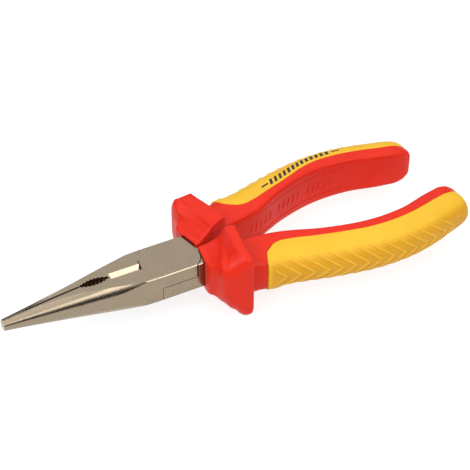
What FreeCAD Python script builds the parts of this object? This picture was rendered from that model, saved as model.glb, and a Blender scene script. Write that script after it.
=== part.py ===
"""Needle nose pliers: two forged levers on a lap-joint rivet, with moulded insulating handles.

Frame, in millimetres: the origin is on the rivet's axis, at the underside of the head. The pliers
lie flat, +Z is up, the tips point along -X and the handles along +X. A hand that holds the handles
with +Z up has +Y on its right, so "right" names the lever whose handle is on the +Y side. Its jaw
is on the -Y side, because the levers cross at the rivet.
"""
import FreeCAD, Part
import math
import os
import Sketcher
from FreeCAD import Placement, Rotation, Vector

DIMENSIONS = {
    # how far cutting outlines reach past the part
    "clear_reach": 40.0,
    # head
    "head_thickness": 9.7,
    "head_width": 16.0,
    "edge_chamfer": 0.25,
    "jaw_reach": 56.4,
    "tip_half_width": 1.85,
    "tip_half_thickness": 1.65,
    "shoulder_x": 27.0,
    "shoulder_half_width": 5.95,
    "cheek_radius": 130.0,
    "cheek_x": 6.0,
    # half-round nose
    "nose_tip_radius": 1.7,
    "nose_profile_radius": 900.0,
    "nose_root_x": 8.0,
    "nose_root_radius": 9.7,
    "taper_radius": 387.0,
    "taper_root_x": 30.7,
    # lap joint
    "lap_radius": 9.9,
    "lap_gap": 0.28,
    "lap_clearance": 0.04,
    "jaw_gap": 0.1,
    "shank_inner": 1.6,
    "shank_end": 14.0,
    # rivet
    "rivet_radius": 3.0,
    "rivet_head_radius": 4.2,
    "rivet_head_depth": 1.2,
    "rivet_clearance": 0.05,
    # side cutter and pipe grip
    "cutter_start": 20.6,
    "cutter_end": 10.0,
    "cutter_half_width": 1.45,
    "cutter_depth": 1.75,
    "pipe_grip_start": 31.0,
    "pipe_grip_end": 20.9,
    "pipe_grip_half_width": 1.75,
    "pipe_teeth": 8,
    "pipe_tooth_depth": 0.45,
    # serrated gripping faces
    "serration_pitch": 0.7,
    "serration_depth": 0.22,
    "serration_count": 34,
    # tang, inside the handle
    "tang_start_x": 11.0,
    "tang_start_y": 4.7,
    "tang_bend_x": 45.0,
    "tang_bend_y": 17.4,
    "tang_bend_radius": 75.0,
    "tang_end_x": 84.0,
    "tang_width": 5.6,
    "tang_thickness": 5.6,
    # handle
    "section_corner": 2.0,
    "grip_depth": 2.0,
    # hand guard, in its own frame: along the handle from its front face, and out from the middle
    "guard_tilt": 11.0,
    "guard_origin": 10.0,
    "guard_inner": 0.4,
    "guard_back_inner": 2.4,
    "guard_collar_half": 6.2,
    "guard_collar_outer": 8.5,
    "guard_throat": 3.4,
    "guard_sweep_radius": 8.5,
    "guard_cheek_end": 3.6,
    "guard_cheek_outer": 17.5,
    "guard_lobe_start": 5.2,
    "guard_lobe_end": 12.6,
    "guard_lobe_corner": 1.6,
    "guard_half_height": 12.0,
    "guard_outer": 18.9,
    "guard_crest_start": 9.2,
    "guard_crest_end": 11.4,
    "guard_back": 17.5,
    "guard_back_outer": 14.2,
    "guard_back_half": 5.5,
    "guard_corner": 2.2,
}

# Handle sections square to X: station, inner face, outermost point, half height.
HANDLE_SECTIONS = [
    (14.0, 2.2, 15.5, 6.1),
    (22.0, 3.8, 18.9, 6.65),
    (36.0, 6.4, 22.6, 6.83),
    (50.0, 12.4, 26.2, 7.4),
    (64.0, 16.0, 28.6, 7.7),
    (78.0, 15.7, 28.5, 7.46),
    (92.0, 12.2, 25.5, 7.15),
    (97.4, 11.3, 24.1, 6.8),
    (100.6, 11.3, 23.3, 5.9),
    (102.7, 12.2, 22.0, 4.4),
    (103.6, 13.6, 20.4, 2.9),
]

# Inner edge of the soft grip in plan, from its front end to past the end of the handle.
GRIP_EDGE = [
    (25.6, 19.0),
    (26.7, 15.9),
    (29.2, 13.2),
    (33.0, 11.5),
    (37.5, 12.35),
    (45.0, 15.2),
    (54.0, 18.1),
    (62.0, 20.1),
    (70.0, 20.7),
    (80.0, 19.8),
    (93.0, 16.9),
    (108.0, 15.0),
]

doc = FreeCAD.newDocument("pliers")
sheet = doc.addObject("Spreadsheet::Sheet", "size")


def fill_sheet():
    """Write the driving dimensions and the handle's stations as named cells."""
    cells = dict(DIMENSIONS)
    for letter, numbers in zip("abcdefghijk", HANDLE_SECTIONS):
        for word, number in zip(("station", "inner", "outer", "half"), numbers):
            cells[word + "_" + letter] = number
    for row, (alias, number) in enumerate(cells.items(), start=1):
        sheet.set("A%d" % row, alias.replace("_", " "))
        sheet.set("B%d" % row, str(number))
        sheet.setAlias("B%d" % row, alias)
    doc.recompute()


def value(expression):
    return float(sheet.evalExpression(expression))


# ---------------------------------------------------------------- sketches

def body_sketch(body, name, role, offset="0"):
    """A sketch on one of the body's origin planes, or parallel to it at an offset."""
    sketch = body.newObject("Sketcher::SketchObject", name)
    planes = [plane for plane in body.Origin.OriginFeatures if plane.Role == role]
    sketch.AttachmentSupport = (planes[0], "")
    sketch.MapMode = "FlatFace"
    sketch.setExpression("AttachmentOffset.Base.z", offset)
    return sketch


def free_sketch(name, x_axis, y_axis, base):
    """A sketch of the document's own, in the plane of two axes through a base point."""
    sketch = doc.addObject("Sketcher::SketchObject", name)
    turn = Rotation(x_axis, y_axis, x_axis.cross(y_axis), "ZXY")
    sketch.Placement = Placement(base, turn)
    return sketch


def pin(sketch, geometry, end, place):
    """Hold one point of a sketch at two expressions, measured from the sketch's origin."""
    for kind, expression in zip(("DistanceX", "DistanceY"), place[:2]):
        constraint = Sketcher.Constraint(kind, -1, 1, geometry, end, value(expression))
        index = sketch.addConstraint(constraint)
        sketch.setExpression("Constraints[%d]" % index, expression)


def left_arc(start, stop, radius):
    """The short arc of a radius between two points that turns left on the way."""
    chord = stop - start
    rise = radius - math.sqrt(max(radius ** 2 - chord.Length ** 2 / 4, 0.0))
    bulge = Vector(chord.y, -chord.x, 0).normalize() * rise
    return Part.Arc(start, (start + stop) * 0.5 + bulge, stop)


def draw(sketch, steps):
    """Draw a closed outline. A step is (x, y) for a line to that point, or
    (x, y, "left" or "right", radius) for an arc to it. The numbers are expressions."""
    ends = []
    for before, step in zip([steps[-1]] + steps[:-1], steps):
        start = Vector(value(before[0]), value(before[1]), 0)
        stop = Vector(value(step[0]), value(step[1]), 0)
        if len(step) == 2:
            edge = sketch.addGeometry(Part.LineSegment(start, stop))
            ends.append((edge, 1, 2))
        elif step[2] == "left":
            edge = sketch.addGeometry(left_arc(start, stop, value(step[3])))
            ends.append((edge, 1, 2))
        else:
            edge = sketch.addGeometry(left_arc(stop, start, value(step[3])))
            ends.append((edge, 2, 1))
    for index, (edge, _, last) in enumerate(ends):
        following, first, _ = ends[(index + 1) % len(ends)]
        sketch.addConstraint(Sketcher.Constraint("Coincident", edge, last, following, first))
        pin(sketch, edge, last, steps[index])
    for step, (edge, _, _) in zip(steps, ends):
        if len(step) == 4:
            constraint = Sketcher.Constraint("Radius", edge, value(step[3]))
            index = sketch.addConstraint(constraint)
            sketch.setExpression("Constraints[%d]" % index, step[3])


# ---------------------------------------------------------------- steel levers

def cut_both_ways(body, sketch, length="size.clear_reach"):
    """Cut a sketch's outline both ways from its plane."""
    pocket = body.newObject("PartDesign::Pocket", "Cut" + sketch.Name)
    pocket.Profile = sketch
    pocket.SideType = 2
    pocket.setExpression("Length", length)
    return pocket


def forging_blank(body):
    """The whole head in plan, both jaws and both shanks, with its long edges broken."""
    tip, shoulder, cheek = "-size.jaw_reach", "-size.shoulder_x", "-size.cheek_x"
    end, cheek_radius = "size.shank_end", "size.cheek_radius"
    flat, full = "size.tip_half_width", "size.head_width / 2"
    sketch = body_sketch(body, "HeadOutline", "XY_Plane")
    draw(sketch, [
        (tip, "-" + flat),
        (shoulder, "-size.shoulder_half_width"),
        (cheek, "-" + full, "left", cheek_radius),
        (end, "-" + full),
        (end, full),
        (cheek, full),
        (shoulder, "size.shoulder_half_width", "left", cheek_radius),
        (tip, flat),
    ])
    pad = body.newObject("PartDesign::Pad", "Head")
    pad.Profile = sketch
    pad.SideType = 2
    pad.setExpression("Length", "size.head_thickness")
    doc.recompute()
    rims = []
    for number, edge in enumerate(pad.Shape.Edges, start=1):
        along_side = abs(edge.CenterOfMass.y) > 1.0
        level = abs(edge.BoundBox.ZMax - edge.BoundBox.ZMin) < 1e-6
        if along_side and level:
            rims.append("Edge%d" % number)
    chamfer = body.newObject("PartDesign::Chamfer", "BrokenEdges")
    chamfer.Base = (pad, rims)
    chamfer.setExpression("Size", "size.edge_chamfer")


def round_nose(body):
    """Turn the nose down to a slim cone and taper its flat faces towards the tip."""
    outside = "-size.jaw_reach - 1"
    root = "-size.nose_root_x"
    sketch = body_sketch(body, "NoseCone", "XZ_Plane")
    draw(sketch, [
        (outside, "size.nose_tip_radius"),
        (root, "size.nose_root_radius", "left", "size.nose_profile_radius"),
        (root, "size.clear_reach"),
        (outside, "size.clear_reach"),
    ])
    groove = body.newObject("PartDesign::Groove", "TurnedNose")
    groove.Profile = sketch
    groove.ReferenceAxis = (sketch, ["H_Axis"])
    groove.Angle = 360
    taper = body_sketch(body, "NoseTaper", "XZ_Plane")
    for sign, turn in (("", "right"), ("-", "left")):
        top = sign + "size.head_thickness / 2"
        draw(taper, [
            (outside, sign + "size.tip_half_thickness"),
            ("-size.taper_root_x", top, turn, "size.taper_radius"),
            ("-size.taper_root_x", sign + "size.clear_reach"),
            (outside, sign + "size.clear_reach"),
        ])
    cut_both_ways(body, taper)


def cross_over(body):
    """Take away the other lever's quarters and the lower half of the lap."""
    lap, gap, away = "size.lap_radius", "-size.jaw_gap / 2", "size.clear_reach"
    past_tips = "-2 * size.clear_reach"
    far_jaw = body_sketch(body, "FarJaw", "XY_Plane")
    jaw_root = "-sqrt(size.lap_radius ^ 2 - size.jaw_gap ^ 2 / 4)"
    draw(far_jaw, [
        (jaw_root, gap, "left", lap),
        (past_tips, gap),
        (past_tips, away),
        ("0", away),
        ("0", lap),
    ])
    cut_both_ways(body, far_jaw)
    near_shank = body_sketch(body, "NearShank", "XY_Plane")
    shank_root = "sqrt(size.lap_radius ^ 2 - size.shank_inner ^ 2)"
    draw(near_shank, [
        (shank_root, "size.shank_inner", "left", lap),
        (away, "size.shank_inner"),
        (away, "-" + away),
        ("0", "-" + away),
        ("0", "-" + lap),
    ])
    cut_both_ways(body, near_shank)
    half = body_sketch(body, "LowerLap", "XY_Plane", "size.lap_clearance - size.head_thickness / 2")
    circle = half.addGeometry(Part.Circle(Vector(), Vector(0, 0, 1), value(lap)))
    half.addConstraint(Sketcher.Constraint("Coincident", circle, 3, -1, 1))
    radius = half.addConstraint(Sketcher.Constraint("Radius", circle, value(lap)))
    half.setExpression("Constraints[%d]" % radius, lap + " + size.lap_gap")
    cut_both_ways(body, half, "size.head_thickness")


def rivet_hole(body, clearance):
    """Countersunk hole for the rivet, opened by the running clearance."""
    shaft = "size.rivet_radius + " + clearance
    head = "size.rivet_head_radius + " + clearance
    top = "size.head_thickness / 2"
    sketch = body_sketch(body, "RivetHole", "XZ_Plane")
    draw(sketch, [
        ("0", "-1"),
        (shaft, "-1"),
        (shaft, top + " - size.rivet_head_depth"),
        (head, top),
        (head, top + " + 1"),
        ("0", top + " + 1"),
    ])
    groove = body.newObject("PartDesign::Groove", "RivetSeat")
    groove.Profile = sketch
    groove.ReferenceAxis = (sketch, ["V_Axis"])
    groove.Angle = 360


def side_cutter(body):
    """Bevels, above and below, that leave a cutting edge at mid thickness."""
    top, wide = "size.head_thickness / 2", "size.cutter_half_width"
    floor = top + " - size.cutter_depth"
    middle = "-(size.cutter_start + size.cutter_end) / 2"
    sketch = body_sketch(body, "CutterBevels", "YZ_Plane", middle)
    draw(sketch, [("-" + wide, top), ("0", floor), ("1", floor), ("1", top)])
    draw(sketch, [("-" + wide, "-" + top), ("0", "-(" + floor + ")"),
                  ("1", "-(" + floor + ")"), ("1", "-" + top)])
    cut_both_ways(body, sketch, "size.cutter_start - size.cutter_end")


def pipe_grip(body):
    """The toothed oval hollow between nose and cutter."""
    start, end = value("size.pipe_grip_start"), value("size.pipe_grip_end")
    pitch = (start - end) / value("size.pipe_teeth")
    points = [Vector(-end, 1, 0), Vector(-start, 1, 0)]
    for step in range(2 * int(value("size.pipe_teeth")) + 1):
        along = step * pitch / 2
        hollow = math.sin(math.pi * along / (start - end)) ** 0.6
        depth = value("size.pipe_grip_half_width") * hollow
        if step % 2 == 0:
            depth = max(depth - value("size.pipe_tooth_depth"), 0.0)
        points.append(Vector(along - start, -depth, 0))
    sketch = body_sketch(body, "PipeGrip", "XY_Plane")
    for first, second in zip(points, points[1:] + points[:1]):
        sketch.addGeometry(Part.LineSegment(first, second))
    cut_both_ways(body, sketch)


def serrate(body):
    """Fine cross grooves along the gripping face, from the tip to the pipe grip."""
    pitch, depth = "size.serration_pitch", "size.serration_depth"
    first = "-size.jaw_reach + size.serration_pitch"
    sketch = body_sketch(body, "Serration", "XY_Plane")
    draw(sketch, [
        (first + " - " + pitch + " / 2", "0"),
        (first, "-" + depth + " - size.jaw_gap / 2"),
        (first + " + " + pitch + " / 2", "0"),
    ])
    groove = cut_both_ways(body, sketch)
    doc.recompute()
    row = body.newObject("PartDesign::LinearPattern", "Serrations")
    row.Originals = [groove]
    row.Direction = (sketch, ["H_Axis"])
    row.setExpression("Occurrences", "size.serration_count")
    row.setExpression("Length", pitch + " * (size.serration_count - 1)")
    body.Tip = row


def add_tang(body):
    """The forged bar that runs on inside the handle."""
    path = body_sketch(body, "TangPath", "XY_Plane")
    start = Vector(value("size.tang_start_x"), value("size.tang_start_y"), 0)
    bend = Vector(value("size.tang_bend_x"), value("size.tang_bend_y"), 0)
    along = (bend - start).normalize()
    radius = value("size.tang_bend_radius")
    centre = bend + Vector(along.y, -along.x, 0) * radius
    reach = value("size.tang_end_x")
    stop = Vector(reach, centre.y + math.sqrt(radius ** 2 - (reach - centre.x) ** 2), 0)
    middle = (bend + stop) * 0.5 - centre
    crest = centre + middle.normalize() * radius
    path.addGeometry(Part.LineSegment(start, bend))
    path.addGeometry(Part.Arc(bend, crest, stop))
    profile = body.newObject("Sketcher::SketchObject", "TangSection")
    side = Vector(-along.y, along.x, 0)
    profile.Placement = Placement(start, Rotation(side, Vector(0, 0, 1), along, "ZXY"))
    wide, thick = "size.tang_width / 2", "size.tang_thickness / 2"
    draw(profile, [("-" + wide, "-" + thick), (wide, "-" + thick), (wide, thick), ("-" + wide, thick)])
    tang = body.newObject("PartDesign::AdditivePipe", "Tang")
    tang.Profile = profile
    tang.Spine = (path, ["Edge1", "Edge2"])


def build_lever(label, clearance):
    """A whole lever: jaw on one side, half of the lap, shank and tang on the other side."""
    body = doc.addObject("PartDesign::Body", label)
    body.Label = label
    forging_blank(body)
    round_nose(body)
    cross_over(body)
    rivet_hole(body, clearance)
    side_cutter(body)
    pipe_grip(body)
    add_tang(body)
    serrate(body)
    body.setExpression("Placement.Base.z", "size.head_thickness / 2")
    return body


def build_rivet():
    """Shaft with a countersunk head at each end, ground flush with the head."""
    body = doc.addObject("PartDesign::Body", "pivot_rivet")
    shaft, head, top = "size.rivet_radius", "size.rivet_head_radius", "size.head_thickness / 2"
    neck = top + " - size.rivet_head_depth"
    sketch = body_sketch(body, "RivetProfile", "XZ_Plane")
    draw(sketch, [
        ("0", "-" + top),
        (head, "-" + top),
        (shaft, "-(" + neck + ")"),
        (shaft, neck),
        (head, top),
        ("0", top),
    ])
    turned = body.newObject("PartDesign::Revolution", "TurnedRivet")
    turned.Profile = sketch
    turned.ReferenceAxis = (sketch, ["V_Axis"])
    turned.Angle = 360
    body.setExpression("Placement.Base.z", "size.head_thickness / 2")
    return body


# ---------------------------------------------------------------- handles

def section_sketch(name, letter, inset):
    """One handle section: flat inner face with round corners, half-round outer side."""
    inner = "(size.inner_%s + %s)" % (letter, inset)
    outer = "(size.outer_%s - %s)" % (letter, inset)
    half = "(size.half_%s - %s)" % (letter, inset)
    corner = "size.section_corner"
    crown = outer + " - " + half
    sketch = free_sketch(name, Vector(0, 1, 0), Vector(0, 0, 1), Vector())
    sketch.setExpression("Placement.Base.x", "size.station_" + letter)
    sketch.setExpression("Placement.Base.z", "size.head_thickness / 2")
    draw(sketch, [
        (inner, half + " - " + corner),
        (inner + " + " + corner, half, "right", corner),
        (crown, half),
        (outer, "0", "right", half),
        (crown, "-" + half, "right", half),
        (inner + " + " + corner, "-" + half),
        (inner, "-" + half + " + " + corner, "right", corner),
    ])
    return sketch


def handle_loft(name, letters, inset):
    """A smooth solid through the handle's sections, all drawn in by the same inset."""
    loft = doc.addObject("Part::Loft", name)
    loft.Sections = [section_sketch(name + "Section" + letter, letter, inset) for letter in letters]
    loft.Solid = True
    loft.Ruled = False
    return loft


def extrude(name, sketch):
    """A prism that runs well past the handle on both sides of the sketch."""
    solid = doc.addObject("Part::Extrusion", name)
    solid.Base = sketch
    solid.DirMode = "Normal"
    solid.Symmetric = True
    solid.Solid = True
    solid.setExpression("LengthFwd", "2 * size.clear_reach")
    return solid


def grip_region():
    """The part of the handle, in plan, that the soft grip covers."""
    sketch = free_sketch("GripRegion", Vector(1, 0, 0), Vector(0, 1, 0), Vector())
    edge = [Vector(x, y, 0) for x, y in GRIP_EDGE]
    curve = Part.BSplineCurve()
    curve.interpolate(edge)
    outside = value("size.clear_reach")
    corners = [edge[-1], Vector(edge[-1].x, outside, 0), Vector(edge[0].x, outside, 0), edge[0]]
    sketch.addGeometry(curve)
    for first, second in zip(corners, corners[1:]):
        sketch.addGeometry(Part.LineSegment(first, second))
    return extrude("GripPrism", sketch)


def boolean(kind, name, base, tool):
    result = doc.addObject("Part::" + kind, name)
    result.Base = base
    result.Tool = tool
    return result


def guard():
    """The flared collar that keeps fingers off the steel: the common part of its plan,
    its side view and the outline of its rim."""
    tilt = Rotation(Vector(0, 0, 1), value("size.guard_tilt"))
    along, across = tilt.multVec(Vector(1, 0, 0)), tilt.multVec(Vector(0, 1, 0))
    up = Vector(0, 0, 1)
    base = Vector(value("size.guard_origin"), 0, value("size.head_thickness / 2"))
    inner, outer, tall = "size.guard_inner", "size.guard_outer", "size.guard_half_height"
    collar, crest = "size.guard_collar_half", "size.guard_crest_start"
    back = "size.guard_back"
    plan = free_sketch("GuardPlan", along, across, base)
    draw(plan, [
        ("0", "size.guard_collar_outer"),
        ("size.guard_cheek_end", "size.guard_cheek_outer"),
        ("size.guard_lobe_start", outer, "right", "size.guard_lobe_corner"),
        ("size.guard_lobe_end", outer),
        (back, "size.guard_back_outer"),
        (back, "size.guard_back_inner"),
        ("0", inner),
    ])
    side = free_sketch("GuardSide", along, up, base)
    throat, sweep = "size.guard_throat", "size.guard_sweep_radius"
    draw(side, [
        ("0", collar),
        (throat, collar),
        (crest, tall, "left", sweep),
        ("size.guard_crest_end", tall),
        (back, "size.guard_back_half"),
        (back, "-size.guard_back_half"),
        ("size.guard_crest_end", "-" + tall),
        (crest, "-" + tall),
        (throat, "-" + collar, "left", sweep),
        ("0", "-" + collar),
    ])
    rim = free_sketch("GuardRim", across, up, base)
    rounding = "size.guard_corner"
    draw(rim, [
        ("0", tall + " - " + rounding),
        (rounding, tall, "right", rounding),
        (outer + " - " + rounding, tall),
        (outer, tall + " - " + rounding, "right", rounding),
        (outer, "-" + tall + " + " + rounding),
        (outer + " - " + rounding, "-" + tall, "right", rounding),
        (rounding, "-" + tall),
        ("0", "-" + tall + " + " + rounding, "right", rounding),
    ])
    common = doc.addObject("Part::MultiCommon", "Guard")
    common.Shapes = [
        extrude("GuardPlanSolid", plan),
        extrude("GuardSideSolid", side),
        extrude("GuardRimSolid", rim),
    ]
    return common


def lap_clearance():
    """A disc that keeps the moulding clear of the turning lap."""
    disc = doc.addObject("Part::Cylinder", "LapDisc")
    disc.setExpression("Radius", "size.lap_radius + size.lap_gap")
    disc.setExpression("Height", "size.head_thickness + 0.2")
    disc.setExpression("Placement.Base.z", "-0.1")
    return disc


def build_handle(lever):
    """The right handle: hard sleeve with its guard, and the soft grip moulded over it."""
    letters = "abcdefghijk"
    whole = handle_loft("HandleBody", letters, "0")
    core = handle_loft("HandleCore", letters[:-1], "size.grip_depth")
    prism = grip_region()
    covered = boolean("Common", "CoveredHandle", whole, prism)
    grip = boolean("Cut", "right_grip", covered, core)
    bare = boolean("Cut", "BareHandle", whole, grip)
    outside = boolean("Fuse", "SleeveOutside", bare, guard())
    insert = boolean("Fuse", "SteelInsert", lever, lap_clearance())
    sleeve = boolean("Cut", "right_sleeve", outside, insert)
    return sleeve, grip


def mirrored(source, label):
    """The left-hand copy of a handle piece, across the plane Y = 0."""
    copy = doc.addObject("Part::Mirroring", label)
    copy.Source = source
    copy.Base = Vector(0, 0, 0)
    copy.Normal = Vector(0, 1, 0)
    copy.Label = label
    return copy


# ---------------------------------------------------------------- whole object

def build():
    fill_sheet()
    right_lever = build_lever("right_lever", "0")
    left_lever = build_lever("left_lever", "size.rivet_clearance")
    left_lever.Placement.Rotation = Rotation(Vector(1, 0, 0), 180)
    rivet = build_rivet()
    doc.recompute()
    sleeve, grip = build_handle(right_lever)
    nodes = [right_lever, left_lever, rivet, sleeve, grip,
             mirrored(sleeve, "left_sleeve"), mirrored(grip, "left_grip")]
    doc.recompute()
    return nodes


def check(nodes):
    """Stop if any object failed to compute or any sub-part is not one valid solid."""
    for thing in doc.Objects:
        if "Invalid" in thing.State or "Error" in thing.State:
            raise RuntimeError("%s: %s" % (thing.Name, thing.State))
    for node in nodes:
        shape = node.Shape
        if shape.isNull() or not shape.isValid() or len(shape.Solids) != 1:
            raise RuntimeError("%s: bad shape, %d solids" % (node.Label, len(shape.Solids)))


parts = build()
check(parts)
os.makedirs("parts", exist_ok=True)
for part in parts:
    part.Shape.exportStep("parts/%s.step" % part.Label)
    box = part.Shape.BoundBox
    print("%-14s %9.1f mm3  x %.1f..%.1f  y %.1f..%.1f  z %.1f..%.1f" % (
        part.Label, part.Shape.Volume, box.XMin, box.XMax, box.YMin, box.YMax, box.ZMin, box.ZMax))
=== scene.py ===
"""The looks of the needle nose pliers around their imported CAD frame. Lengths are in metres."""
import math

import bmesh
import bpy
import numpy as np
from mathutils import Matrix, Vector
from mathutils.bvhtree import BVHTree


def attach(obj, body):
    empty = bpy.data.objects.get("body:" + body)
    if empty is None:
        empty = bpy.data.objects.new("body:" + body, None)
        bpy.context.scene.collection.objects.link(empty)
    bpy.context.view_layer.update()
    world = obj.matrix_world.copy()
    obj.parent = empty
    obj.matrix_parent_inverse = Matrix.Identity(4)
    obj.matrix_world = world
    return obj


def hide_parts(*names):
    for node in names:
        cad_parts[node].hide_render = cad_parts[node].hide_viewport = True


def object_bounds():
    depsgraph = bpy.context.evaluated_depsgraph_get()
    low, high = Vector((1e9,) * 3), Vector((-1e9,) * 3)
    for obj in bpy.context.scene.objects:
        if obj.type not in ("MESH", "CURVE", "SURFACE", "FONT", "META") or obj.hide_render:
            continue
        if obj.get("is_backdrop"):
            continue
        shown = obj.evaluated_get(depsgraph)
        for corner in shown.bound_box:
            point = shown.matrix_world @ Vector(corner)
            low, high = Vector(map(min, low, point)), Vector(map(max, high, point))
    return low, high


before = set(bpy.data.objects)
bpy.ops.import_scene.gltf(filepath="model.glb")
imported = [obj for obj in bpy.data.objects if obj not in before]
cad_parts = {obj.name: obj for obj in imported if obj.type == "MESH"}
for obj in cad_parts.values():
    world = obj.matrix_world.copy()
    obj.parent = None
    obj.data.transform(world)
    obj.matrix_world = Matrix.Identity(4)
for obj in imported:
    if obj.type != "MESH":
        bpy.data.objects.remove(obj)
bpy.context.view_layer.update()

MM = 0.001
MID = 4.85              # height of the middle plane above the head's underside, mm
spaced = np.linspace    # short name: evenly spaced numbers


# ------------------------------------------------------------------ node helpers

def set_stops(node, stops):
    """Give a colour ramp its (position, colour) stops; a number is a grey."""
    line = node.color_ramp.elements
    for index, (position, colour) in enumerate(stops):
        if index >= 2:
            line.new(position)
        line[index].position = position
        rgb = (colour,) * 3 if isinstance(colour, (int, float)) else colour
        line[index].color = (*rgb, 1.0)


class Nodes:
    """A small builder for one material's nodes."""

    def __init__(self, name):
        self.material = bpy.data.materials.new(name)
        self.material.use_nodes = True
        self.tree = self.material.node_tree
        self.shader = self.tree.nodes["Principled BSDF"]

    def set(self, **values):
        """Put constants on the shader's own sockets."""
        for name, value in values.items():
            self.shader.inputs[name.replace("_", " ")].default_value = value

    def add(self, kind, **settings):
        node = self.tree.nodes.new("ShaderNode" + kind)
        for name, setting in settings.items():
            setattr(node, name, setting)
        return node

    def link(self, source, target):
        self.tree.links.new(source, target)

    def drive(self, socket, source):
        """Feed one of the shader's own sockets."""
        self.link(source, self.shader.inputs[socket])

    def place(self, stretch=(1, 1, 1)):
        """Object coordinates, stretched along the axes."""
        coordinates = self.add("TexCoord")
        mapping = self.add("Mapping")
        mapping.inputs["Scale"].default_value = stretch
        self.link(coordinates.outputs["Object"], mapping.inputs["Vector"])
        return mapping.outputs["Vector"]

    def noise(self, scale, detail=3.0, rough=0.5, stretch=(1, 1, 1)):
        node = self.add("TexNoise")
        node.inputs["Scale"].default_value = scale
        node.inputs["Detail"].default_value = detail
        node.inputs["Roughness"].default_value = rough
        self.link(self.place(stretch), node.inputs["Vector"])
        return node.outputs["Fac"]

    def ramp(self, source, *stops):
        """A colour ramp through (position, colour) stops."""
        node = self.add("ValToRGB")
        set_stops(node, stops)
        self.link(source, node.inputs["Fac"])
        return node.outputs["Color"]

    def mix(self, kind, factor, first, second):
        node = self.add("Mix", data_type="RGBA", blend_type=kind)
        node.inputs[0].default_value = factor
        self.link(first, node.inputs[6])
        self.link(second, node.inputs[7])
        return node.outputs[2]

    def bump(self, *layers):
        """Bump from (height socket, distance in metres) layers, coarse to fine."""
        normal = None
        for height, distance in layers:
            node = self.add("Bump")
            node.inputs["Strength"].default_value = 1.0
            node.inputs["Distance"].default_value = distance
            self.link(height, node.inputs["Height"])
            if normal is not None:
                self.link(normal, node.inputs["Normal"])
            normal = node.outputs["Normal"]
        self.drive("Normal", normal)


# ------------------------------------------------------------------ materials

def steel():
    """Satin nickel plate: fine grain with faint polishing lines and small clouds."""
    nodes = Nodes("satin_nickel")
    nodes.set(Metallic=1.0, IOR=2.2)
    lines = nodes.noise(1100, 4, 0.6, (0.15, 1, 1))
    clouds = nodes.noise(140, 3, 0.5)
    grain = nodes.noise(2600, 3, 0.6)
    tone = nodes.ramp(grain, (0.3, (0.285, 0.225, 0.155)), (0.7, (0.375, 0.305, 0.222)))
    shade = nodes.ramp(clouds, (0.3, 0.94), (0.7, 1.0))
    nodes.drive("Base Color", nodes.mix("MULTIPLY", 1.0, tone, shade))
    rough = nodes.ramp(nodes.mix("MIX", 0.5, lines, clouds), (0.3, 0.17), (0.7, 0.23))
    nodes.drive("Roughness", rough)
    nodes.bump((clouds, 0.00001), (lines, 0.000002), (grain, 0.000004))
    return nodes.material


def hard_red():
    """Semi-gloss moulded sleeve."""
    nodes = Nodes("hard_red")
    nodes.set(IOR=1.45, Specular_IOR_Level=0.22)
    clouds = nodes.noise(90, 3, 0.5)
    grain = nodes.noise(2600, 3, 0.6)
    nodes.drive("Base Color", nodes.ramp(clouds, (0.25, (0.57, 0.013, 0.003)), (0.75, (0.62, 0.019, 0.004))))
    nodes.drive("Roughness", nodes.ramp(clouds, (0.3, 0.34), (0.7, 0.42)))
    nodes.bump((clouds, 0.00004), (grain, 0.000006))
    return nodes.material


def soft_yellow():
    """Satin elastomer of the grips, with a fine grain; it is deeper in colour in the eroded zone between the
    ribs: partly the eroded surface's own tone, partly painted shade between the ribs, which leaves the ribs'
    tops lighter as a painted highlight.
    """
    nodes = Nodes("soft_yellow")
    nodes.set(IOR=1.45, Specular_IOR_Level=0.35)
    clouds = nodes.noise(110, 3, 0.5)
    grain = nodes.noise(1900, 4, 0.65)
    tone = nodes.ramp(clouds, (0.25, (0.67, 0.375, 0.012)), (0.75, (0.72, 0.415, 0.018)))
    speckle = nodes.ramp(grain, (0.3, 0.93), (0.6, 1.0))
    # painted shade: the eroded zone is darker between the ribs, partly its own tone and partly painted shade
    field = nodes.add("Attribute", attribute_name="eroded_and_shaded").outputs["Fac"]
    eroded_and_shaded = nodes.ramp(field, (0.0, 1.0), (1.0, (0.84, 0.70, 0.28)))
    tone = nodes.mix("MULTIPLY", 1.0, tone, eroded_and_shaded)
    nodes.drive("Base Color", nodes.mix("MULTIPLY", 1.0, tone, speckle))
    nodes.drive("Roughness", nodes.ramp(grain, (0.3, 0.42), (0.7, 0.55)))
    nodes.bump((clouds, 0.00003), (grain, 0.00001))
    return nodes.material


def ink_and_shadow_coat(name, roughness, gloss, scale, dark, light):
    """A thin dark coat with a slight grain between two shades: the print's ink, and the painted shadow in
    the steel's narrow gaps.
    """
    nodes = Nodes(name)
    nodes.set(Roughness=roughness, IOR=1.45, Specular_IOR_Level=gloss)
    grain = nodes.noise(scale, 3, 0.6)
    nodes.drive("Base Color", nodes.ramp(grain, (0.35, dark), (0.8, light)))
    nodes.bump((grain, 0.000004))
    return nodes.material


# ------------------------------------------------------------------ handle shape, in mm

# Sections square to X: station, inner face, outermost point, half height.
SECTIONS = np.array([
    (14.0, 2.2, 15.5, 6.1),
    (22.0, 3.8, 18.9, 6.65),
    (36.0, 6.4, 22.6, 6.83),
    (50.0, 12.4, 26.2, 7.4),
    (64.0, 16.0, 28.6, 7.7),
    (78.0, 15.7, 28.5, 7.46),
    (92.0, 12.2, 25.5, 7.15),
    (97.4, 11.3, 24.1, 6.8),
    (100.2, 11.3, 23.3, 5.7),
    (102.1, 12.2, 22.0, 4.1),
    (102.9, 13.8, 20.4, 2.4),
])
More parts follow.
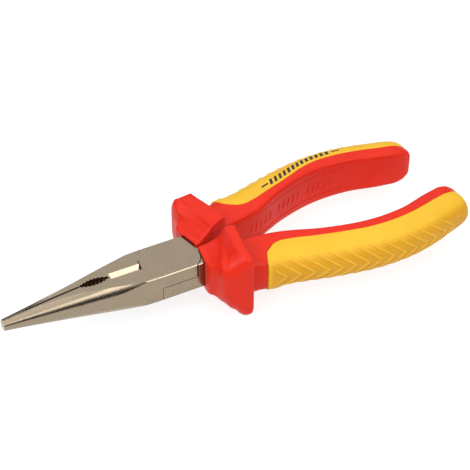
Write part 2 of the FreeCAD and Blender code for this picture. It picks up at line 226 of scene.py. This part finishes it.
# Inner edge of the soft grip, seen from above.
GRIP_EDGE = np.array([
    (25.2, 20.2),
    (25.6, 18.6),
    (26.7, 15.9),
    (29.2, 13.2),
    (33.0, 11.6),
    (37.5, 12.35),
    (45.0, 15.2),
    (54.0, 18.1),
    (62.0, 20.1),
    (70.0, 20.7),
    (80.0, 19.8),
    (93.0, 16.9),
    (104.0, 15.0),
])
GRIP_FRONT = 25.2
END = 102.9             # last station of the handle, before the rings that close it
INNER_CORNER = 1.7


def curve(points, x):
    """A smooth curve through points (Catmull-Rom on uneven stations)."""
    xs = points[:, 0]
    ys = points[:, 1:]
    slopes = np.gradient(ys, xs, axis=0)
    x = np.atleast_1d(np.clip(x, xs[0], xs[-1]))
    at = np.clip(np.searchsorted(xs, x) - 1, 0, len(xs) - 2)
    width = (xs[at + 1] - xs[at])[:, None]
    u = ((x - xs[at])[:, None]) / width
    first, second = ys[at], ys[at + 1]
    leaving, arriving = slopes[at] * width, slopes[at + 1] * width
    return ((2 * u**3 - 3 * u**2 + 1) * first + (u**3 - 2 * u**2 + u) * leaving
            + (-2 * u**3 + 3 * u**2) * second + (u**3 - u**2) * arriving)


def smooth(low, high, values):
    """0 up to low, 1 from high on, and a smooth rise between them."""
    u = np.clip((values - low) / (high - low), 0, 1)
    return u * u * (3 - 2 * u)


def window(start, full, fade, end, value):
    """1 between full and fade, and 0 before start and after end."""
    return float(smooth(start, full, value) * (1 - smooth(fade, end, value)))


def lengths_along(points):
    """The length of a line of points up to each of them."""
    steps = np.linalg.norm(np.diff(points, axis=0), axis=1)
    return np.concatenate([[0], np.cumsum(steps)])


def at_lengths(stations, lengths, table):
    """The rows of a table that goes with the lengths, read at other stations."""
    return np.stack([np.interp(stations, lengths, column) for column in table.T], 1)


def inner_corner(half):
    """Radius of the corners beside the inner face of a section with this half height."""
    return min(INNER_CORNER, half * 0.45)


def section(x, samples=400):
    """Upper half of the section at x, from the inner face's middle to the outermost point:
    points (y, z), outward normals and lengths along it."""
    inner, outer, half = curve(SECTIONS, x)[0]
    corner = inner_corner(half)
    flank = half * 1.08
    crown = outer - flank
    turn = spaced(0, math.pi / 2, 60)
    points = [(inner, z) for z in spaced(0, half - corner, 60)[:-1]]
    points += [(inner + corner * (1 - math.cos(a)), half - corner * (1 - math.sin(a))) for a in turn]
    if crown > inner + corner:
        points += [(y, half) for y in spaced(inner + corner, crown, 60)[1:-1]]
    power = 0.62 + 0.38 * float(smooth(24.5, 34.0, x))      # fuller behind the guard, then elliptic
    points += [(crown + flank * math.sin(a) ** power, half * max(math.cos(a), 0.0) ** power) for a in turn]
    points = np.array(points)
    lengths = lengths_along(points)
    even = spaced(0, lengths[-1], samples)
    points = at_lengths(even, lengths, points)
    tangent = np.gradient(points, axis=0)
    normal = np.stack([-tangent[:, 1], tangent[:, 0]], 1)
    normal /= np.linalg.norm(normal, axis=1)[:, None] + 1e-12
    return points, normal, even


def top_from(points):
    """Index of the first point of a section that is at its full height."""
    return int(np.argmax(points[:, 1] > points[:, 1].max() - 1e-4))


# ------------------------------------------------------------------ mesh helpers

def to_world(points, side):
    """Handle points (x, y, z from the middle plane, in mm) as metres on one side of the pliers."""
    points = np.asarray(points, float)
    return np.stack([points[:, 0], points[:, 1] * side, points[:, 2] + MID], 1) * MM


def flip(faces):
    return [tuple(reversed(face)) for face in faces]


def make_piece(name, points, faces, material, side, smooth_angle=40, field=None):
    """A mesh object from mm points; the left side's faces are turned over. The field, one number
    for each point, says where a surface is darkened: spark-eroded, and given painted shade between the ribs."""
    mesh = bpy.data.meshes.new(name)
    mesh.from_pydata([tuple(p) for p in to_world(points, side)], [], flip(faces) if side < 0 else faces)
    if field is not None:
        eroded_and_shaded = mesh.attributes.new("eroded_and_shaded", "FLOAT", "POINT")
        eroded_and_shaded.data.foreach_set("value", np.array(field, np.float32))
    bm = bmesh.new()
    bm.from_mesh(mesh)
    bmesh.ops.remove_doubles(bm, verts=bm.verts, dist=2e-6)
    bmesh.ops.dissolve_degenerate(bm, dist=1e-6, edges=bm.edges)
    bm.to_mesh(mesh)
    bm.free()
    mesh.materials.append(material)
    piece = bpy.data.objects.new(name, mesh)
    bpy.context.scene.collection.objects.link(piece)
    mesh.shade_smooth()
    mesh.set_sharp_from_angle(angle=math.radians(smooth_angle))
    return piece


def grid_faces(rows, columns, around=False, start=0):
    """Quads of a grid of points stored row by row."""
    faces = []
    last = columns if around else columns - 1
    for row in range(rows - 1):
        low, high = start + row * columns, start + (row + 1) * columns
        for column in range(last):
            after = (column + 1) % columns
            faces.append((low + column, low + after, high + after, high + column))
    return faces


def resample(points, marks, counts):
    """Points spread evenly by length over each span between marked lengths."""
    lengths = lengths_along(points)
    ends = [0.0, *marks, lengths[-1]]
    stations = [0.0]
    for first, second, count in zip(ends, ends[1:], counts):
        stations += list(spaced(first, second, count + 1)[1:])
    return at_lengths(stations, lengths, points)


def end_rings(last, bulge):
    """Rings that flatten a handle's last loop and close its end, up to bulge mm past it."""
    rings = []
    for flat in (0.85, 0.6, 0.3, 0.0):
        ring = last.copy()
        ring[:, 2] *= flat
        ring[:, 0] = END + bulge * (1 - flat ** 2)
        rings.append(ring)
    return rings


# ------------------------------------------------------------------ hard sleeve

# Guard loops from the hole round the steel to the back of the guard:
# order; s at the inner side, at the outer corner, at the outer middle; t inner, t outer;
# half height inner, outer; corner radius inner, outer. s runs along the handle, t outwards.
GUARD = np.array([
    (0.0, 2.20, 2.20, 2.20, 1.45, 8.15, 4.97, 4.97, 0.3, 0.3),
    (1.0, 0.25, 0.25, 0.25, 1.40, 8.20, 5.00, 5.00, 0.3, 0.3),
    (1.6, 0.03, 0.03, 0.03, 1.20, 8.40, 5.15, 5.15, 0.4, 0.4),
    (2.0, 0.00, 0.00, 0.00, 0.95, 8.75, 5.40, 5.40, 0.5, 0.5),
    (2.6, 0.06, 0.06, 0.03, 0.55, 9.60, 5.80, 5.75, 0.7, 0.7),
    (3.0, 0.45, 0.35, 0.12, 0.42, 10.6, 6.00, 5.90, 0.9, 1.0),
    (4.0, 2.40, 1.10, 0.70, 0.40, 12.5, 6.02, 5.95, 0.9, 1.5),
    (4.6, 3.50, 1.80, 1.55, 0.40, 13.4, 6.15, 6.10, 0.9, 2.1),
    (5.2, 4.70, 2.60, 2.40, 0.40, 14.7, 6.50, 6.50, 0.9, 2.8),
    (6.0, 6.20, 3.60, 3.10, 0.40, 16.4, 7.30, 7.40, 0.9, 3.6),
    (7.0, 7.30, 5.40, 3.80, 0.40, 17.7, 8.75, 8.70, 0.9, 4.4),
    (8.0, 8.05, 7.00, 4.90, 0.40, 18.5, 10.3, 10.0, 0.9, 4.4),
    (9.0, 8.55, 8.20, 6.90, 0.42, 18.8, 11.4, 10.9, 0.9, 4.2),
    (10.0, 9.00, 9.00, 8.70, 0.50, 19.0, 11.9, 11.6, 0.9, 3.8),
    (11.0, 10.7, 10.6, 10.5, 0.55, 19.1, 12.03, 12.0, 0.9, 3.0),
    (12.0, 12.0, 12.0, 12.5, 0.60, 19.05, 11.95, 11.9, 0.9, 2.8),
    (13.0, 12.3, 12.3, 13.1, 0.70, 18.6, 11.4, 11.2, 0.9, 3.0),
    (14.0, 12.35, 12.35, 13.2, 0.85, 17.2, 9.90, 9.60, 1.0, 3.0),
    (15.0, 12.55, 12.6, 13.4, 1.10, 16.2, 8.00, 7.80, 1.2, 2.8),
    (16.0, 12.9, 13.1, 13.8, 1.35, 15.6, 6.75, 6.65, 1.5, 2.7),
])
GUARD_TILT = math.radians(11)
GUARD_AT = 10.0
SIDE_POINTS = 20                # points up a guard's inner side, and down its outer side
CORNER_POINTS = 30              # points round each of its corners
TOP_POINTS = 40                 # points across its top
COUNTS = (8, 6, 22, 4, 22)      # inner face, its corner, top, groove, under the grip
HALF = sum(COUNTS)
LIP = sum(COUNTS[:3])           # the row where the groove beside the grip starts
EVEN_PARTS = (0.60, 0.64)       # where the groove's rows run in front of the grip
NECK_START = GRIP_FRONT - 1.6   # the sleeve's neck between the guard and the grip
NECK_END = GRIP_FRONT - 0.15
GROOVE_WIDTH = 0.28
GROOVE_ROLL = np.array([0.0, -0.03, -0.10, -0.24, -0.42])      # the sleeve's edge rolls down into it
SLEEVE_DEPTH = 0.6              # how far the sleeve sinks under the grip


def guard_shape(order, side, low):
    """A guard loop's sizes; the lower half is cut away more, and the right guard's upper corner
    is fuller than the left one's."""
    s_in, s_corner, s_out, t_in, t_out, h_in, h_out, r_in, r_out = curve(GUARD, order)[0]
    if side > 0:
        s_in -= 1.6 * window(3.0, 5.5, 7.6, 10.5, order)
        t_out += 0.8 * window(5.0, 7.6, 12.0, 14.0, order)
    if low:
        s_corner += 0.5 * window(5.0, 7.0, 8.6, 10.4, order)
        h_out += 0.6 * window(9.0, 11.0, 12.4, 13.8, order)
    else:
        ramp = 0.8 * window(3.2, 5.2, 6.2, 7.6, order)
        h_in += ramp
        h_out += ramp
    if side > 0 and not low:
        full = window(5.0, 7.6, 9.4, 11.4, order)
        crest = window(8.0, 10.0, 12.6, 14.0, order)
        s_corner -= 2.0 * full + 0.6 * crest
        h_in -= 0.9 * crest + 0.5 * window(6.8, 8.2, 9.2, 10.6, order)
        h_out = min(h_out + 1.6 * full - 0.9 * crest, 11.9 - 0.7 * crest)
        r_out += 0.2 * crest - 1.6 * full
    elif not low:
        r_out += 1.0 * window(7.0, 8.6, 9.6, 11.6, order)
    drop = 1.25 * r_out
    if low:
        drop = r_out * (1.25 + 0.55 * window(5.0, 7.0, 8.6, 10.4, order))
    return s_in, s_corner, s_out, t_in, t_out, h_in, h_out, r_in, r_out, drop


def guard_loop(order, side, low=False):
    """Upper half of one guard loop, as HALF + 1 points (x, y, z)."""
    s_in, s_corner, s_out, t_in, t_out, h_in, h_out, r_in, r_out, drop = guard_shape(order, side, low)
    quarter = spaced(0, math.pi / 2, CORNER_POINTS)
    rows = [(s_in, t_in, z) for z in spaced(0, h_in - r_in, SIDE_POINTS)[:-1]]
    rows += [(s_in, t_in + r_in * (1 - math.cos(a)), h_in - r_in * (1 - math.sin(a))) for a in quarter]
    for part in spaced(0, 1, TOP_POINTS)[1:-1]:
        s = s_in + (s_corner - s_in) * part * part
        t = t_in + r_in + part * (t_out - r_out - t_in - r_in)
        rise = part * part if side > 0 and not low else part
        rows.append((s, t, h_in + (h_out - h_in) * rise))
    for a in quarter:
        s = s_corner + (s_out - s_corner) * math.sin(a)
        rows.append((s, t_out - r_out * (1 - math.sin(a)), h_out - drop * (1 - math.cos(a))))
    rows += [(s_out, t_out, z) for z in spaced(h_out - drop, 0, SIDE_POINTS)[1:]]
    s, t, z = np.array(rows).T
    x = GUARD_AT + s * math.cos(GUARD_TILT) - t * math.sin(GUARD_TILT)
    y = s * math.sin(GUARD_TILT) + t * math.cos(GUARD_TILT)
    points = np.stack([x, y, z], 1)
    lengths = lengths_along(points)
    corner = lengths[SIDE_POINTS - 1]
    turned = lengths[SIDE_POINTS + CORNER_POINTS - 2]
    marks = [corner, turned] + [turned + (lengths[-1] - turned) * part for part in EVEN_PARTS]
    return resample(points, marks, COUNTS)


def edge_shift(x, side):
    """The right grip's edge lies a little further in over the middle of the handle."""
    return 1.3 * math.exp(-((x - 51) / 12) ** 2) if side > 0 else 0.0


def edge_line(x, side):
    """Where the grip's inner edge runs, seen from above."""
    return curve(GRIP_EDGE, x)[0, 0] - edge_shift(x, side)


def grip_mark(points, lengths, x, side):
    """Where the grip's edge crosses the section, as a length along it."""
    top = top_from(points)
    return float(np.interp(edge_line(x, side), points[top:, 0], lengths[top:]))


def neck_draw(x):
    """How far the neck's outer side is drawn in; it runs out under the front of the grip."""
    return 0.5 * float(1 - smooth(25.0, 30.0, x))


def handle_loop(x, side, depth):
    """Upper half of the sleeve's section at x; under the grip it lies lower by the depth."""
    points, normals, lengths = section(x)
    half = curve(SECTIONS, x)[0, 2]
    corner = inner_corner(half)
    turned = half - corner + corner * math.pi / 2
    edge = grip_mark(points, lengths, max(x, GRIP_FRONT + 0.3), side)
    free = 1 - float(smooth(NECK_START, NECK_END, x))
    even = [turned + (lengths[-1] - turned) * part for part in EVEN_PARTS]
    marks = [half - corner, turned]
    marks += [mark + (spread - mark) * free for mark, spread in zip((edge - GROOVE_WIDTH, edge), even)]
    stations = resample(lengths[:, None], marks, COUNTS)[:, 0]
    outer = points[-1, 0]
    points[:, 0] -= neck_draw(x) * smooth(outer - 7, outer - 1, points[:, 0])
    sink = np.zeros(HALF + 1)
    groove_end = LIP + len(GROOVE_ROLL)
    sink[LIP:groove_end] = GROOVE_ROLL * min(1.0, depth / -GROOVE_ROLL[-1])
    sink[groove_end:] = -depth
    loop = at_lengths(stations, lengths, points) + at_lengths(stations, lengths, normals) * sink[:, None]
    return np.column_stack([np.full(HALF + 1, x), loop])


def closed_loop(half, low=None):
    """A whole loop from its upper half: over the top from the inner middle, back underneath."""
    lower = (half if low is None else low)[-2:0:-1] * (1, 1, -1)
    return np.vstack([half, lower])


def build_sleeve(name, side, material):
    """Collar, flared guard and handle core in one skin."""
    orders = [0.0]
    for first, last, count in ((0, 3, 13), (3, 9, 37), (9, 13, 17), (13, 16, 10)):
        orders += list(spaced(first, last, count))[1:]
    loops = [closed_loop(guard_loop(order, side), guard_loop(order, side, True)) for order in orders]
    halves = [handle_loop(x, side, 0.0) for x in spaced(NECK_START, NECK_END, 7)]
    halves.append(handle_loop(GRIP_FRONT - 0.05, side, 0.06))
    halves.append(handle_loop(GRIP_FRONT + 0.05, side, 0.3))
    stations = [*spaced(25.5, 37.5, 19), *spaced(38.5, 97, 52)]
    stations += [98, 98.8, 99.6, 100.4, 101.0, 101.6, 102.1, 102.5, 102.75, END]
    halves += [handle_loop(x, side, SLEEVE_DEPTH) for x in stations]
    halves += end_rings(halves[-1], 0.28)
    loops += [closed_loop(half) for half in halves]
    size = len(loops[0])
    faces = grid_faces(len(loops), size, around=True)
    faces.append(tuple(reversed(range(size))))
    return make_piece(name, np.vstack(loops), flip(faces), material, side)


# ------------------------------------------------------------------ soft grip

RIB_PITCH = 4.5
RIB_FIRST = 31.0
RIB_COUNT = 15
RIB_SLOPE = 1.3         # how far an arm runs towards the head for each mm from the middle
RIB_REACH = 6.5         # how far from the middle it does so
RIB_HEIGHT = 0.34
RIB_HALF = 0.6          # half the width of a rib's foot
ROWS = 33               # rows on each side of the middle
GRIP_PROUD = 0.10       # how far the grip's plain surface stands out of the handle's sections
ROLLED_EDGE = (-0.16, -0.04, 0.05, GRIP_PROUD)              # heights of the rows beside its edge
ROLLED_FRONT = (-0.16, -0.06, 0.03, 0.09, GRIP_PROUD)       # heights of its first columns


class GripSurface:
    """The handle's outer side as a map: (x, share) gives a point and its normal. The share is
    0 at the outermost line and 1 at the grip's edge."""

    def __init__(self, side):
        self.xs = np.concatenate([spaced(GRIP_FRONT, 40, 75), spaced(40.4, END, 160)])
        self.shares = spaced(0, 1, 81)
        places, normals, spans = [], [], []
        for x in self.xs:
            points, out, lengths = section(x)
            span = lengths[-1] - grip_mark(points, lengths, x, side)
            stations = lengths[-1] - self.shares * span
            places.append(at_lengths(stations, lengths, points))
            normals.append(at_lengths(stations, lengths, out))
            spans.append(span)
        self.places = np.array(places)
        self.normals = np.array(normals)
        self.spans = np.array(spans)

    def at(self, x, share):
        """Points, normals and distances from the middle line, for arrays of x and share."""
        x = np.clip(x, self.xs[0], self.xs[-1])
        i = np.clip(np.searchsorted(self.xs, x) - 1, 0, len(self.xs) - 2)
        u = (x - self.xs[i]) / (self.xs[i + 1] - self.xs[i])
        across = share * (len(self.shares) - 1)
        j = np.clip(across.astype(int), 0, len(self.shares) - 2)
        v = across - j

        def blend(table):
            low = table[i, j] * (1 - v)[:, None] + table[i, j + 1] * v[:, None]
            high = table[i + 1, j] * (1 - v)[:, None] + table[i + 1, j + 1] * v[:, None]
            return low * (1 - u)[:, None] + high * u[:, None]

        span = self.spans[i] * (1 - u) + self.spans[i + 1] * u
        return blend(self.places), blend(self.normals), share * span


def rib_height(along, away):
    """Height of the chevron ribs: along is the station where a point's arm starts, and away is
    its distance from the middle line. The arms get lower and run out towards the grip's edge."""
    phase = (along - RIB_FIRST) / RIB_PITCH
    nearest = np.round(phase)
    off = np.abs(phase - nearest) * RIB_PITCH
    bar = np.cos(np.clip(off / RIB_HALF, 0, 1) * math.pi / 2) ** 0.8
    alive = (nearest >= 0) & (nearest < RIB_COUNT)
    return RIB_HEIGHT * bar * alive * (1 - 0.35 * smooth(2.0, 5.0, away)) * (1 - smooth(5.6, 7.0, away))


def grip_columns():
    """Stations of the grip's columns, close together where a rib stands."""
    columns = list(GRIP_FRONT + np.array([0, 0.05, 0.15, 0.3]))
    columns += list(np.arange(GRIP_FRONT + 0.5, GRIP_FRONT + 11, 0.25))
    first_rib = int((columns[-1] + 0.9 - RIB_FIRST) / RIB_PITCH) + 1
    for number in range(first_rib, RIB_COUNT):
        centre = RIB_FIRST + number * RIB_PITCH
        columns += [centre + d for d in (-0.7, -0.5, -0.36, -0.2, 0, 0.2, 0.36, 0.5, 0.7, 1.3, 2.1, 2.9)]
    columns += [columns[-1] + d for d in (1.0, 2.0, 3.0)]
    columns += [c for c in (99.4, 100.2, 100.9, 101.5, 102, 102.4, 102.7, END) if c > columns[-1] + 0.15]
    return np.array(columns)


def there_and_back(numbers):
    """The numbers, and then the same again backwards from the last one."""
    return np.concatenate([numbers, numbers[-2::-1]])


def grip_skin(surface, columns, shares, lifts, bulge, ribbed):
    """One skin of the grip as loops across the handle, and how far each of its points is darkened: eroded,
    and given painted shade between the ribs. The loops lean towards the head with the ribs' arms, less so
    near the two ends."""
    rows = len(shares)
    sign = np.ones(rows)
    sign[rows // 2 + 1:] = -1
    loops, eroded_and_shaded = [], []
    for column, lift in zip(columns, lifts):
        lean = np.clip((column - GRIP_FRONT) / 10.5, 0, 1) * (1 - smooth(96.5, 101, column))
        guess = np.full(rows, float(column))
        for _ in range(4):
            _, _, away = surface.at(guess, shares)
            guess = column - lean * RIB_SLOPE * np.minimum(away, RIB_REACH)
        places, out, away = surface.at(guess, shares)
        if ribbed:
            along = guess + RIB_SLOPE * np.minimum(away, RIB_REACH)
            raised = rib_height(along, away) * smooth(GRIP_FRONT + 1.0, GRIP_FRONT + 2.6, guess)
            raised = raised * (1 - smooth(97.0, 99.0, guess))
            lift = lift + raised
            # darkened zone: the eroded surface's own deeper tone, and painted shade between the ribs, whose
            # tops stay lighter as a painted highlight
            zone = (1 - smooth(3.4, 6.6, away)) * smooth(GRIP_FRONT, GRIP_FRONT + 2, guess)
            eroded_and_shaded.extend(zone * (1 - smooth(0.05, 0.3, raised)))
        else:
            eroded_and_shaded.extend(np.zeros(rows))
        loop = places + out * lift[:, None]
        loops.append(np.column_stack([guess, loop[:, 0], loop[:, 1] * sign]))
    rings = end_rings(loops[-1], bulge)
    eroded_and_shaded.extend(np.zeros(rows * len(rings)))
    return loops + rings, eroded_and_shaded


def build_grip(name, side, material):
    """The soft grip: a ribbed skin with a rolled edge, closed underneath."""
    surface = GripSurface(side)
    columns = grip_columns()
    plain = ROWS + 1 - len(ROLLED_EDGE)
    shares = there_and_back(np.concatenate([[1.0, 0.995, 0.985, 0.965], spaced(0.94, 0.0, plain)]))
    edge_lift = there_and_back(np.concatenate([ROLLED_EDGE, np.full(plain, GRIP_PROUD)]))
    front_lift = np.full(len(columns), GRIP_PROUD)
    front_lift[:len(ROLLED_FRONT)] = ROLLED_FRONT
    outer_lifts = np.minimum(edge_lift, front_lift[:, None])
    inner_lifts = [np.full(len(shares), -0.50 - 0.8 * neck_draw(column)) for column in columns]
    outside, field = grip_skin(surface, columns, shares, outer_lifts, 0.34, True)
    inside, inner_field = grip_skin(surface, columns, shares, inner_lifts, 0.1, False)
    total, rows = len(outside), len(shares)
    base = total * rows
    faces = grid_faces(total, rows)
    faces += flip(grid_faces(total, rows, start=base))
    upper_rim = [index * rows for index in range(total)]
    lower_rim = [index * rows + rows - 1 for index in range(total)]
    faces += [(a, b, b + base, a + base) for a, b in zip(upper_rim, upper_rim[1:])]
    faces += [(b, a, a + base, b + base) for a, b in zip(lower_rim, lower_rim[1:])]
    faces += [(j + 1, j, j + base, j + 1 + base) for j in range(rows - 1)]
    points = np.vstack(outside + inside)
    return make_piece(name, points, flip(faces), material, side, smooth_angle=50, field=field + inner_field)


# ------------------------------------------------------------------ marks

INK_HEIGHT = 0.125      # height of the print over the handle's sections, just over the grip
MARK_RISE = 0.2         # height of the moulded bars
MARK_FOOT = -0.05       # their edges lie a little inside the sleeve


def top_height(x, y):
    points, _, _ = section(x)
    top = top_from(points)
    return float(np.interp(y, points[top:, 0], points[top:, 1]))


def build_print(name, side, material):
    """A generic printed band on the grip's top: slanted bars between two long ones."""
    points, faces = [], []
    slant = 0.35
    lanes = 5

    def bar(x0, x1, low, high):
        start = len(points)
        for along in spaced(0, 1, lanes):
            for across in spaced(0, 1, lanes):
                away = low + (high - low) * across
                x = x0 + (x1 - x0) * along + slant * away
                y = edge_line(x, side) + away
                points.append((x, y, top_height(x, y) + INK_HEIGHT))
        faces.extend(grid_faces(lanes, lanes, start=start))

    for number in range(13):
        start = 46.0 + number * 2.15
        bar(start, start + 1.25, 1.0, 3.6)
    bar(42.2, 45.2, 1.9, 2.7)
    bar(74.4, 77.4, 1.9, 2.7)
    return make_piece(name, points, faces, material, side)


def build_marks(name, side, material):
    """Generic raised bars between two long ones on the handle's inner face."""
    points, faces = [], []
    lanes = ((-1.0, MARK_FOOT), (-0.55, MARK_RISE), (0.55, MARK_RISE), (1.0, MARK_FOOT))

    def bar(x0, z0, x1, z1, wide):
        start = len(points)
        along = np.array([x1 - x0, z1 - z0])
        long = np.linalg.norm(along)
        across = np.array([-along[1], along[0]]) / (long + 1e-9) * wide / 2
        steps = max(3, int(long) + 2)
        for part in spaced(0, 1, steps):
            for lane, height in lanes:
                x = x0 + along[0] * part + across[0] * lane
                z = z0 + along[1] * part + across[1] * lane
                y = curve(SECTIONS, x)[0, 0] - (height if 0 < part < 1 else MARK_FOOT)
                points.append((x, y, z))
        faces.extend(grid_faces(steps, len(lanes), start=start))

    for number in range(17):
        x = 33.0 + number * 2.35
        if number % 6 != 5:
            bar(x, -2.6, x + 0.9, 1.9, 0.55)
    bar(31.5, 4.0, 77.0, 4.0, 0.4)
    bar(31.5, -4.4, 77.0, -4.4, 0.4)
    return make_piece(name, points, flip(faces), material, side)


# ------------------------------------------------------------------ narrow gaps of the steel, shown by strips of painted shadow

# Dark strips of painted shadow: in the tooth gullets along the jaws, and along the lap's seam.
SERRATIONS = (-56.0, -30.9, 0.7)        # first and last station and the pitch of the teeth
GULLET = (0.23, 0.18)                   # least width of a gap on one side, and how much it varies
LAP_LINE = (-5.9, 5.75)                 # where the lap's plane meets the head's side
LAP_GAP = (0.02, 0.17)                  # from the middle plane upwards


def lever_tree(node):
    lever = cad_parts[node]
    corners = [lever.matrix_world @ v.co for v in lever.data.vertices]
    return BVHTree.FromPolygons(corners, [tuple(p.vertices) for p in lever.data.polygons])


def build_gullet_shadow(name, node, side, material):
    """Painted shadow: dark strips where the open ends of the tooth gullets lie, along the top and bottom
    edges of one gripping face.
    """
    tree = lever_tree(node)
    points, faces = [], []
    first, last, pitch = SERRATIONS
    least, more = GULLET
    stations = np.arange(first, last, pitch / 8)
    for up in (1, -1):
        start = len(points)
        for x in stations:
            gap = least + more * abs(math.cos(math.pi * (x - first) / pitch))
            hit, _, _, _ = tree.ray_cast(Vector((x, side * 0.45, MID + up * 12)) * MM, Vector((0, 0, -up)))
            level = hit.z / MM - MID + up * 0.03
            points += [(x, -0.02, level), (x, gap, level)]
        strip = grid_faces(len(stations), 2, start=start)
        faces += strip if up > 0 else flip(strip)
    return make_piece(name, points, faces, material, side)


def build_lap_shadow(name, side, material):
    """Painted shadow: a dark strip on the line where the two halves of the lap meet on the head's side."""
    tree = lever_tree("right_lever")
    points = []
    stations = spaced(*LAP_LINE, 24)
    for x in stations:
        hit, _, _, _ = tree.ray_cast(Vector((x, side * 30, MID + 0.25)) * MM, Vector((0, -side, 0)))
        away = abs(hit.y) / MM + 0.01
        points += [(x, away, z) for z in LAP_GAP]
    return make_piece(name, points, flip(grid_faces(len(stations), 2)), material, side)


# ------------------------------------------------------------------ pieces

steel_material = steel()
red_material = hard_red()
yellow_material = soft_yellow()
for node in ("right_lever", "left_lever", "pivot_rivet"):
    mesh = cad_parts[node].data
    for index in range(len(mesh.materials)):
        mesh.materials[index] = steel_material

for side, word in ((1, "right"), (-1, "left")):
    body = word + "_half"
    sleeve = build_sleeve(word + "_sleeve_skin", side, red_material)
    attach(sleeve, body)
    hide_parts(word + "_sleeve")
    grip = build_grip(word + "_grip_skin", side, yellow_material)
    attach(grip, body)
    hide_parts(word + "_grip")
    marks = build_marks(word + "_inner_marks", side, red_material)
    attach(marks, body)

# painted shadow: one dark material for the strips in the tooth gullets and along the lap's seam
dark = ink_and_shadow_coat("gap_painted_shadow", 0.7, 0.15, 2600, (0.010, 0.007, 0.005), (0.028, 0.020, 0.013))
for side, word, jaw in ((-1, "right", "right_lever"), (1, "left", "left_lever")):
    gullet_shadow = build_gullet_shadow(word + "_jaw_gullet_shadow", jaw, side, dark)
    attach(gullet_shadow, word + "_half")
    # painted shadow along the lap's seam
    line = build_lap_shadow(word + "_lap_shadow", side, dark)
    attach(line, "right_half")

ink = ink_and_shadow_coat("black_ink", 0.5, 0.5, 2200, (0.012, 0.010, 0.008), (0.035, 0.028, 0.018))
band = build_print("printed_bars", 1, ink)
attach(band, "right_half")


# ------------------------------------------------------------------ camera, floor and light

FLOOR_HALF = 3.0        # metres


def camera():
    """A camera at the picture's viewing angle, with the whole object in its view."""
    lens = bpy.data.cameras.new("camera")
    lens.lens = 94.3
    lens.sensor_width = 36
    lens.clip_start = 0.01
    lens.clip_end = 20
    holder = bpy.data.objects.new("camera", lens)
    bpy.context.scene.collection.objects.link(holder)
    right = Vector((0.8752, -0.4837, 0.0034))
    back = Vector((-0.3842, -0.6909, 0.6124))
    up = back.cross(right)
    turn = Matrix((right, up, back)).transposed().to_4x4()
    holder.matrix_world = Matrix.Translation(Vector((-129.93, -276.61, 254.73)) * MM) @ turn
    bpy.context.scene.camera = holder


def floor():
    """A pale floor that glows a little, so that only soft shadows show on it."""
    mesh = bpy.data.meshes.new("floor")
    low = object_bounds()[0].z - 0.0002
    corners = [(x * FLOOR_HALF, y * FLOOR_HALF, low) for x, y in ((-1, -1), (1, -1), (1, 1), (-1, 1))]
    mesh.from_pydata(corners, [], [(0, 1, 2, 3)])
    nodes = Nodes("pale_floor")
    nodes.set(Base_Color=(0.2, 0.2, 0.2, 1), Roughness=0.9)
    nodes.set(Emission_Color=(1, 1, 1, 1), Emission_Strength=0.82)
    mesh.materials.append(nodes.material)
    plane = bpy.data.objects.new("floor", mesh)
    bpy.context.scene.collection.objects.link(plane)
    plane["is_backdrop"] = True


def area_light(name, place, aim, width, height, power):
    light = bpy.data.lights.new(name, "AREA")
    light.shape = "RECTANGLE"
    light.size = width
    light.size_y = height
    light.energy = power
    holder = bpy.data.objects.new(name, light)
    bpy.context.scene.collection.objects.link(holder)
    holder.location = place
    holder.rotation_mode = "QUATERNION"
    holder.rotation_quaternion = (Vector(aim) - Vector(place)).to_track_quat("-Z", "Y")


def studio():
    """An even light tent, bright above and dark below the horizon, and two soft boxes."""
    world = bpy.data.worlds.new("studio")
    bpy.context.scene.world = world
    world.use_nodes = True
    tree = world.node_tree
    background = tree.nodes["Background"]
    background.inputs["Strength"].default_value = 1.0
    heading = tree.nodes.new("ShaderNodeTexCoord")
    parts = tree.nodes.new("ShaderNodeSeparateXYZ")
    tree.links.new(heading.outputs["Generated"], parts.inputs["Vector"])
    ramp = tree.nodes.new("ShaderNodeValToRGB")
    stops = ((0.0, 0.03), (0.30, 0.06), (0.50, 0.95), (1.0, 1.6))
    set_stops(ramp, [(position, (grey, grey, grey * 1.02)) for position, grey in stops])
    tree.links.new(parts.outputs["Z"], ramp.inputs["Fac"])
    tree.links.new(ramp.outputs["Color"], background.inputs["Color"])
    area_light("key", (0.20, -0.58, 0.46), (0.0, 0, 0), 0.6, 0.28, 1.8)
    area_light("left", (-0.62, -0.2, 0.62), (0.02, 0, 0), 0.5, 0.5, 3.6)


camera()
floor()
studio()
bpy.context.scene.view_settings.view_transform = "Standard"
